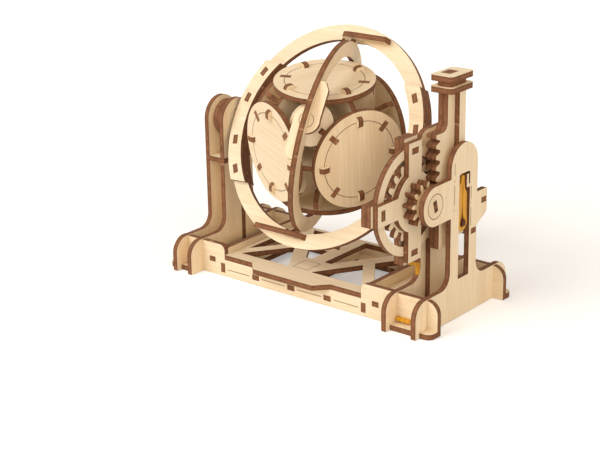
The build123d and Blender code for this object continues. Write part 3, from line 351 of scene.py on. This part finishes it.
# Sheet normal and grain of every plywood node.
ALIGNED = (
    (X, Z, "right_inner_upright right_outer_upright left_inner_upright left_outer_upright "
           "gearbox_rim gearbox_cover key_rack_inner key_rack_outer key_rib drive_gear_inner "
           "drive_gear_outer shaft_discs journal_discs ring_retainers ring_pinion key_guide_doubler"),
    (X, Y, "left_end_rib right_end_rib big_gear"),
    (Y, X, "front_plate rear_plate left_web"),
    (Z, X, "deck lower_frame left_tie right_tie foot_shelves left_crossbar key_guide_bars "
           "key_cap_bottom key_cap_middle key_cap_top"),
    (RING_FACE, X, "ring_core ring_cheeks_left ring_cheeks_right"),
    (RING_UP, X, "ring_lug_top ring_lug_bottom pivot_bushes"),
    (INNER_FACE, RING_UP, "inner_ring"),
    (AXLE, RING_UP, "ball_lug_front ball_lug_rear ball_corner_plates ball_pivots"))
SHEETS = {name: (normal, grain) for normal, grain, names in ALIGNED for name in names.split()}
for k in range(3):
    for part in ("core_%s", "disc_%s_out", "disc_%s_back"):
        SHEETS["ball_" + part % "abc"[k]] = (BALL[k], BALL[(k + 1) % 3])


def reach(name, direction, furthest=max):
    """Furthest (or nearest) a piece reaches along a direction."""
    return furthest((Vector(v.co) / MM).dot(direction) for v in frame["nodes"][name].data.vertices)


# Engraved lines of the pieces that have them.
DASH_HALF, DASH_HEIGHT, DASH_MIDDLES = 8.2, 4.4, (-38.6, -12.9, 12.9, 38.6)
BRACKET_FRONT_Y, BRACKET_REAR_Y = -9.3, 6.6
BRACKET_DASHES = (
    (BRACKET_FRONT_Y, 87, 81), (BRACKET_FRONT_Y, 77.6, 77.2), (BRACKET_FRONT_Y, 75, 64.5),
    (BRACKET_FRONT_Y, 62, 61.6), (BRACKET_REAR_Y, 71, 64), (BRACKET_REAR_Y, 62, 61.6),
    (BRACKET_REAR_Y, 59, 49))
LOBE_CIRCLE_R, LUG_CIRCLE_R = 6.64, 3.85
SQUARE = ((-6, -24), (4.4, -24), (4.4, -12), (-6, -12))

bracket_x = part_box("right_outer_upright")[1].x / MM
front_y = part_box("front_plate")[0].y / MM
deck_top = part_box("deck")[1].z / MM
lobe = ((bracket_x, GEAR.y, GEAR.z), X, LOBE_CIRCLE_R)
square = [(x, y, deck_top) for x, y in SQUARE]
dashes = [((bracket_x, y, z0), (bracket_x, y, z1)) for y, z0, z1 in BRACKET_DASHES]
LINES = {
    "shaft_discs": [lobe],
    "right_outer_upright": [lobe] + dashes,
    "deck": [(square[i], square[(i + 1) % 4]) for i in range(4)]}
for name, y in (("front_plate", front_y), ("rear_plate", -front_y)):
    LINES[name] = [((x - DASH_HALF, y, DASH_HEIGHT), (x + DASH_HALF, y, DASH_HEIGHT)) for x in DASH_MIDDLES]
for k in range(3):
    for side, part in ((1, "out"), (-1, "back")):
        centre = CENTRE + BALL[k] * side * DISC_FACE
        LINES["ball_disc_%s_%s" % ("abc"[k], part)] = [(centre, BALL[k], TAB_CIRCLE_R)]
for name, furthest in (("ball_lug_front", max), ("ball_lug_rear", min)):
    outer = reach(name, AXLE, furthest) - CENTRE.dot(AXLE)
    LINES[name] = [(CENTRE + AXLE * outer, AXLE, LUG_CIRCLE_R)]

# Pegs and pins: centre, axis and inner radius of their plies.
ENDS = {"ring_pegs": (CENTRE, RING_FACE, 58.5), "gearbox_pegs": (GEAR, X, 26.1),
        "gear_shaft": (GEAR, X, -1.5), "key_peg": (GEAR, X, -1.5)}

for name, body_node in frame["nodes"].items():
    if name in SHEETS:
        normal, grain = SHEETS[name]
        material = sheet_material(name, normal, grain, reach(name, normal, min), LINES.get(name, ()))
    elif name in ENDS:
        material = end_material(name, *ENDS[name])
    elif name == "ball_ribs":
        material = rib_material(name)
    else:
        continue
    body_node.data.materials.clear()
    body_node.data.materials.append(material)


# ---- Rubber bands ------------------------------------------------------------
RUBBER_LIGHT, RUBBER_DARK, RUBBER_DUST = srgb(226, 165, 22), srgb(198, 132, 10), srgb(238, 201, 96)


def rubber_material():
    """Yellow rubber, streaked along its stretch and a little dusty."""
    material = new_material("rubber")
    tree = material.node_tree
    point = place_mm(tree)
    stretch = noise(tree, vector_node(tree, "MULTIPLY", point, (0.9, 0.9, 0.12)), detail=3)
    dust = noise(tree, point, scale=2.2, detail=3, roughness=0.7)
    colour = mix(tree, smooth(tree, stretch, 0.35, 0.7), RUBBER_LIGHT, RUBBER_DARK)
    colour = mix(tree, scaled(tree, smooth(tree, dust, 0.5, 0.75), 0.25), colour, RUBBER_DUST)
    shader = tree.nodes["Principled BSDF"]
    shader.inputs["Subsurface Weight"].default_value = 0.25
    shader.inputs["Subsurface Scale"].default_value = 0.001
    shader.inputs["Subsurface Radius"].default_value = (1.0, 0.6, 0.1)
    tree.links.new(colour, shader.inputs["Base Color"])
    tree.links.new(math_node(tree, "MULTIPLY_ADD", dust, 0.25, 0.30), shader.inputs["Roughness"])
    bump = node(tree, "ShaderNodeBump", Strength=0.4, Distance=0.00008, Height=dust)
    tree.links.new(bump.outputs[0], shader.inputs["Normal"])
    return material


RUBBER = rubber_material()


SIDES, CORNER_POWER = 16, 0.6       # section of the rubber: its points and how square it is


def loop(name, x, path, half_thick):
    """Closed rubber loop swept along (y, z, half width) stations in the plane at x."""
    def squarish(v):
        return math.copysign(abs(v) ** CORNER_POWER, v)

    count = len(path)
    vertices, faces = [], []
    for i, (y, z, half) in enumerate(path):
        before, after = path[i - 1], path[(i + 1) % count]
        ahead = Vector((after[0] - before[0], after[1] - before[1])).normalized()
        for j in range(SIDES):
            turn = 2 * math.pi * j / SIDES
            out = half * squarish(math.cos(turn))
            vertices.append(((x + half_thick * squarish(math.sin(turn))) * MM,
                             (y + ahead.y * out) * MM, (z - ahead.x * out) * MM))
    for i in range(count):
        a, b = i * SIDES, (i + 1) % count * SIDES
        for j in range(SIDES):
            k = (j + 1) % SIDES
            faces.append((a + j, a + k, b + k, b + j))
    mesh = bpy.data.meshes.new(name)
    mesh.from_pydata(vertices, [], faces)
    mesh.validate()
    for polygon in mesh.polygons:
        polygon.use_smooth = True
    made = bpy.data.objects.new(name, mesh)
    bpy.context.scene.collection.objects.link(made)
    made.data.materials.append(RUBBER)
    return made


# Drop below the band's top, distance from its middle, half width: up the right side, down the left.
RIGHT_SIDE = ((22, 2.5, 1.7), (17, 2.3, 2.0), (13, 2.3, 2.0), (10.6, 2.2, 1.9),
              (8.4, 1.3, 0.85), (6, 0.85, 0.6), (2.6, 0.7, 0.55))
LEFT_SIDE = ((2.6, 0.7, 0.55), (4.2, 1.1, 0.75), (5.8, 2.0, 1.5), (8, 2.3, 2.0),
             (14, 2.3, 2.0), (18, 2.3, 2.0), (22, 2.5, 1.7))
TOP_BEND_R, TOP_BEND_DROP, TOP_HALF = 0.7, 1.35, 0.55
TOP_BEND = (0.2, math.pi / 4, math.pi / 2, 3 * math.pi / 4, math.pi - 0.2)
PEG_ROOM = 2.2                      # inside radius of the band round the key's peg
PEG_STEPS = 12
SKIN = 0.05                         # how much thinner the band is than its solid


def return_band():
    """Band from the bracket's hook down round the key's peg."""
    low, high = (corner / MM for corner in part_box("return_band"))
    peg_low, peg_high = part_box("key_peg")
    x, y, top = (low.x + high.x) / 2, (low.y + high.y) / 2, high.z
    peg_z = ((peg_low + peg_high) / 2 / MM).z
    outside = (high.y - low.y) / 2
    half = (outside - PEG_ROOM) / 2
    bend = outside - half
    path = []
    for i in range(PEG_STEPS + 1):
        turn = math.pi + math.pi * i / PEG_STEPS
        path.append((y + bend * math.cos(turn), peg_z + bend * math.sin(turn), half))
    path += [(y + out, top - drop, wide) for drop, out, wide in RIGHT_SIDE]
    path += [(y + TOP_BEND_R * math.cos(turn), top - TOP_BEND_DROP + TOP_BEND_R * math.sin(turn), TOP_HALF)
             for turn in TOP_BEND]
    path += [(y - out, top - drop, wide) for drop, out, wide in LEFT_SIDE]
    band = loop("return_band_loop", x, path, (high.x - low.x) / 2 - SKIN)
    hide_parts("return_band")
    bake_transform(band)


def base_band():
    """The lower band's two visible ends keep their solid shape."""
    ends = frame["nodes"]["base_band"]
    ends.data.materials.clear()
    ends.data.materials.append(RUBBER)


return_band()
base_band()

# ---- Stage -------------------------------------------------------------------
VIEWER = ("Is Camera Ray", "Is Glossy Ray", "Is Transmission Ray")
FLOOR_R, FLOOR_DROP, FLOOR_GLOW = 8, 0.0002, 0.32       # in metres; glow seen by the camera
AMBIENT, WHITE = (0.43, 0.375, 0.31, 1), (1, 1, 1, 1)
CAMERA_AT = Vector((504.14, -640.09, 318.47))
CAMERA_TURN = (39.31, 19.45, -0.97)                     # azimuth, elevation and roll in degrees
CAMERA_LENS, CAMERA_SENSOR = 91.52, 36


def seen(tree):
    """1 for rays that show the background."""
    rays = tree.nodes.new("ShaderNodeLightPath")
    share = rays.outputs[VIEWER[0]]
    for name in VIEWER[1:]:
        share = math_node(tree, "MAXIMUM", share, rays.outputs[name])
    return share


def floor():
    bpy.ops.mesh.primitive_circle_add(vertices=96, radius=FLOOR_R, fill_type="NGON",
                                      location=(0, 0, -FLOOR_DROP))
    made = bpy.context.object
    made.name = "floor"
    material = new_material("floor")
    tree = material.node_tree
    tree.nodes.remove(tree.nodes["Principled BSDF"])
    dull = node(tree, "ShaderNodeBsdfDiffuse", Color=srgb(240, 240, 240))
    glow = node(tree, "ShaderNodeEmission", Color=WHITE, Strength=scaled(tree, seen(tree), FLOOR_GLOW))
    both = tree.nodes.new("ShaderNodeAddShader")
    tree.links.new(dull.outputs[0], both.inputs[0])
    tree.links.new(glow.outputs[0], both.inputs[1])
    tree.links.new(both.outputs[0], tree.nodes["Material Output"].inputs["Surface"])
    made.data.materials.append(material)


def world():
    made = bpy.data.worlds.new("studio")
    bpy.context.scene.world = made
    made.use_nodes = True
    tree = made.node_tree
    background = tree.nodes["Background"]
    colour = mix(tree, seen(tree), AMBIENT, WHITE)
    tree.links.new(colour, background.inputs["Color"])


def sun(name, towards, strength, spread, colour=(1, 1, 1)):
    data = bpy.data.lights.new(name, "SUN")
    data.energy, data.angle, data.color = strength, math.radians(spread), colour
    made = bpy.data.objects.new(name, data)
    made.rotation_euler = Vector(towards).to_track_quat("-Z", "Y").to_euler()
    bpy.context.scene.collection.objects.link(made)


def camera():
    a, e, roll = (math.radians(v) for v in CAMERA_TURN)
    back = Vector((math.sin(a) * math.cos(e), -math.cos(a) * math.cos(e), math.sin(e)))
    right = Vector((math.cos(a), math.sin(a), 0))
    up = back.cross(right)
    side = right * math.cos(roll) + up * math.sin(roll)
    top = -right * math.sin(roll) + up * math.cos(roll)
    data = bpy.data.cameras.new("camera")
    data.sensor_fit, data.sensor_width, data.lens = "HORIZONTAL", CAMERA_SENSOR, CAMERA_LENS
    data.clip_start, data.clip_end = 0.05, 50
    made = bpy.data.objects.new("camera", data)
    made.matrix_world = Matrix((side, top, back)).transposed().to_4x4()
    made.location = CAMERA_AT * MM
    bpy.context.scene.collection.objects.link(made)
    bpy.context.scene.camera = made


floor()
world()
sun("key_light", (0.35, 0.75, -0.60), 1.9, 45)
sun("fill_light", (-0.75, 0.45, -0.40), 1.35, 70, (1.0, 0.94, 0.86))
camera()
bpy.context.scene.view_settings.view_transform = "Standard"
